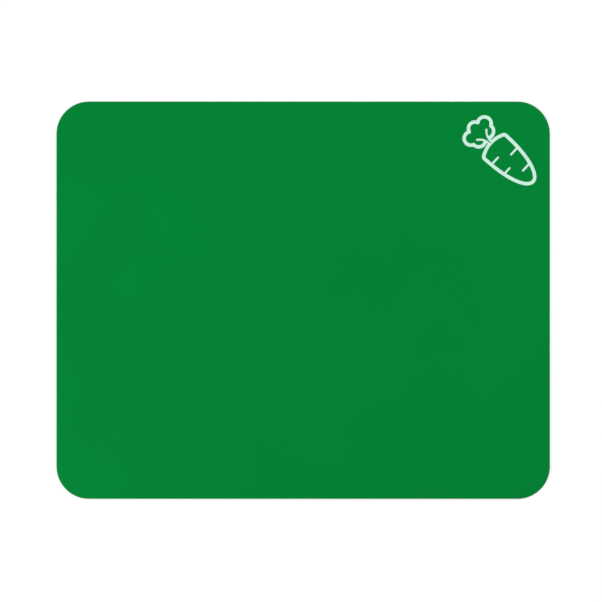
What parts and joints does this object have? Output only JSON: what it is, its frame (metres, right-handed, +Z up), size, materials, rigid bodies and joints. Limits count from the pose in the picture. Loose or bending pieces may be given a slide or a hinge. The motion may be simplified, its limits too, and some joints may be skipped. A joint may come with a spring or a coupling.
{
  "type": "flexible cutting mat",
  "caption": "Thin flexible rectangular cutting mat with rounded corners, a waffle grip back and a line-drawn carrot sign in one corner; both ends curl up.",
  "frame": {"origin": "centre of the underside, on the surface that the mat lies on", "axes": "+X along the long side, to the right in the picture; +Y along the short side, up in the picture; +Z up, out of the cutting surface"},
  "size_m": [0.38, 0.306, 0.0012],
  "materials": {
    "sheet": "satin polypropylene with a fine grain",
    "ink": "matt screen-printing ink"
  },
  "bodies": {
    "centre": {"sheet_centre": "sheet"},
    "left_strip_1": {"sheet_left_1": "sheet"},
    "left_strip_2": {"sheet_left_2": "sheet"},
    "left_strip_3": {"sheet_left_3": "sheet"},
    "left_strip_4": {"sheet_left_4": "sheet"},
    "left_strip_5": {"sheet_left_5": "sheet"},
    "left_edge": {"sheet_left_edge": "sheet"},
    "right_strip_1": {"sheet_right_1": "sheet"},
    "right_strip_2": {"sheet_right_2": "sheet"},
    "right_strip_3": {"sheet_right_3": "sheet"},
    "right_strip_4": {"sheet_right_4": "sheet"},
    "right_strip_5": {"sheet_right_5": "sheet"},
    "right_edge": {"sheet_right_edge": "sheet", "carrot_print": "ink"}
  },
  "joints": [
    {"name": "left_bend_1", "type": "hinge", "parent": "centre", "child": "left_strip_1", "pos_m": [-0.019, 0, 0.0012], "axis": [0, 1, 0], "range_deg": [0, 14.38], "stiffness_Nm_per_rad": 1.8},
    {"name": "left_curl", "type": "hinge", "parent": "left_strip_1", "child": "left_strip_2", "pos_m": [-0.038, 0, 0.0012], "axis": [0, 1, 0], "range_deg": [0, 25], "stiffness_Nm_per_rad": 1.8},
    {"name": "left_bend_3", "type": "hinge", "parent": "left_strip_2", "child": "left_strip_3", "pos_m": [-0.057, 0, 0.0012], "axis": [0, 1, 0], "range_deg": [0, 25], "stiffness_Nm_per_rad": 1.8},
    {"name": "left_bend_4", "type": "hinge", "parent": "left_strip_3", "child": "left_strip_4", "pos_m": [-0.076, 0, 0.0012], "axis": [0, 1, 0], "range_deg": [0, 25], "stiffness_Nm_per_rad": 1.8},
    {"name": "left_bend_5", "type": "hinge", "parent": "left_strip_4", "child": "left_strip_5", "pos_m": [-0.095, 0, 0.0012], "axis": [0, 1, 0], "range_deg": [0, 25], "stiffness_Nm_per_rad": 1.8},
    {"name": "left_bend_6", "type": "hinge", "parent": "left_strip_5", "child": "left_edge", "pos_m": [-0.114, 0, 0.0012], "axis": [0, 1, 0], "range_deg": [0, 14.38], "stiffness_Nm_per_rad": 1.8},
    {"name": "right_bend_1", "type": "hinge", "parent": "centre", "child": "right_strip_1", "pos_m": [0.019, 0, 0.0012], "axis": [0, -1, 0], "range_deg": [0, 14.38], "stiffness_Nm_per_rad": 1.8},
    {"name": "right_curl", "type": "hinge", "parent": "right_strip_1", "child": "right_strip_2", "pos_m": [0.038, 0, 0.0012], "axis": [0, -1, 0], "range_deg": [0, 25], "stiffness_Nm_per_rad": 1.8},
    {"name": "right_bend_3", "type": "hinge", "parent": "right_strip_2", "child": "right_strip_3", "pos_m": [0.057, 0, 0.0012], "axis": [0, -1, 0], "range_deg": [0, 25], "stiffness_Nm_per_rad": 1.8},
    {"name": "right_bend_4", "type": "hinge", "parent": "right_strip_3", "child": "right_strip_4", "pos_m": [0.076, 0, 0.0012], "axis": [0, -1, 0], "range_deg": [0, 25], "stiffness_Nm_per_rad": 1.8},
    {"name": "right_bend_5", "type": "hinge", "parent": "right_strip_4", "child": "right_strip_5", "pos_m": [0.095, 0, 0.0012], "axis": [0, -1, 0], "range_deg": [0, 25], "stiffness_Nm_per_rad": 1.8},
    {"name": "right_bend_6", "type": "hinge", "parent": "right_strip_5", "child": "right_edge", "pos_m": [0.114, 0, 0.0012], "axis": [0, -1, 0], "range_deg": [0, 14.38], "stiffness_Nm_per_rad": 1.8}
  ],
  "couplings": [
    {"joint": "left_bend_1", "follows": "left_curl", "ratio": 0.575},
    {"joint": "left_bend_3", "follows": "left_curl", "ratio": 1},
    {"joint": "left_bend_4", "follows": "left_curl", "ratio": 1},
    {"joint": "left_bend_5", "follows": "left_curl", "ratio": 1},
    {"joint": "left_bend_6", "follows": "left_curl", "ratio": 0.575},
    {"joint": "right_bend_1", "follows": "right_curl", "ratio": 0.575},
    {"joint": "right_bend_3", "follows": "right_curl", "ratio": 1},
    {"joint": "right_bend_4", "follows": "right_curl", "ratio": 1},
    {"joint": "right_bend_5", "follows": "right_curl", "ratio": 1},
    {"joint": "right_bend_6", "follows": "right_curl", "ratio": 0.575}
  ]
}
